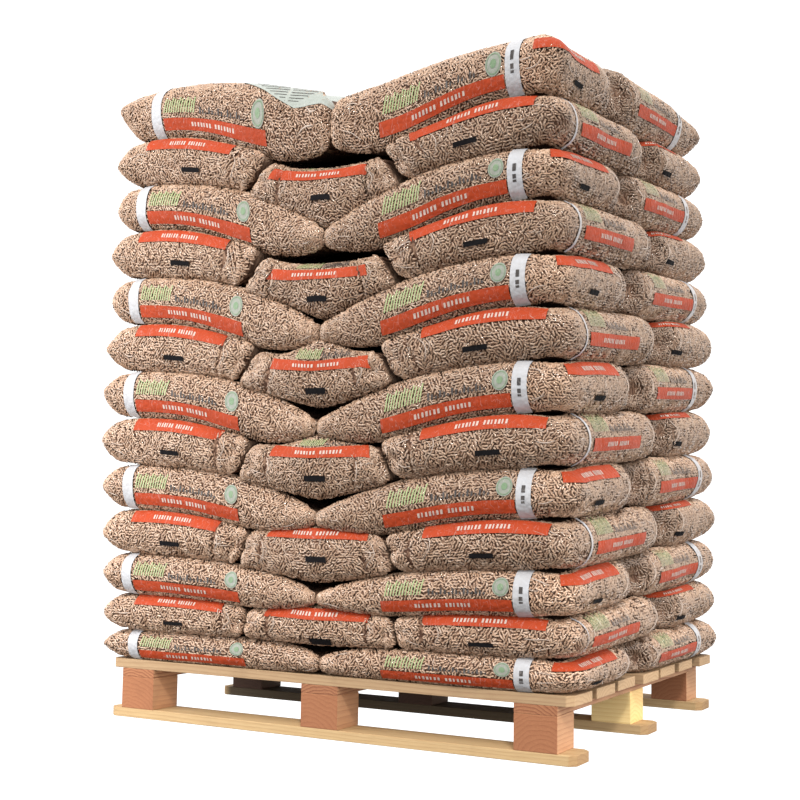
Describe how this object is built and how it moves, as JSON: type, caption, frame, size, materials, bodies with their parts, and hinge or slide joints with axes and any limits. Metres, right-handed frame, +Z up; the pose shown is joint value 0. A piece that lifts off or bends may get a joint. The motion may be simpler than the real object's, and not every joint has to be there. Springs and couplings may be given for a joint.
{
  "type": "pallet of sacks",
  "caption": "Wooden block pallet stacked with layers of clear film sacks filled with wood pellets.",
  "frame": {"origin": "middle of the pallet's underside, on the floor", "axes": "+Z up, +X along the pallet's long side to the right, front face towards -Y"},
  "size_m": [1.251, 1.09, 1.626],
  "materials": {
    "board_wood": "rough sawn, pale",
    "block_wood": "rough sawn, reddish brown",
    "sack_film": "clear glossy film over wood pellets"
  },
  "bodies": {
    "root": {"bottom_board_front": "board_wood", "bottom_board_middle": "board_wood", "bottom_board_back": "board_wood", "block_front_left": "block_wood", "block_front_centre": "block_wood", "block_front_right": "block_wood", "block_middle_left": "block_wood", "block_middle_centre": "block_wood", "block_middle_right": "block_wood", "block_back_left": "block_wood", "block_back_centre": "block_wood", "block_back_right": "block_wood", "stringer_left": "board_wood", "stringer_centre": "board_wood", "stringer_right": "board_wood", "deck_board_1": "board_wood", "deck_board_2": "board_wood", "deck_board_3": "board_wood", "deck_board_4": "board_wood", "deck_board_5": "board_wood", "deck_board_6": "board_wood", "deck_board_7": "board_wood", "sack_layer_01": "sack_film", "sack_layer_02": "sack_film", "sack_layer_03": "sack_film", "sack_layer_04": "sack_film", "sack_layer_05": "sack_film", "sack_layer_06": "sack_film", "sack_layer_07": "sack_film", "sack_layer_08": "sack_film", "sack_layer_09": "sack_film", "sack_layer_10": "sack_film", "sack_layer_11": "sack_film", "sack_layer_12": "sack_film", "sack_layer_13": "sack_film"}
  },
  "joints": []
}
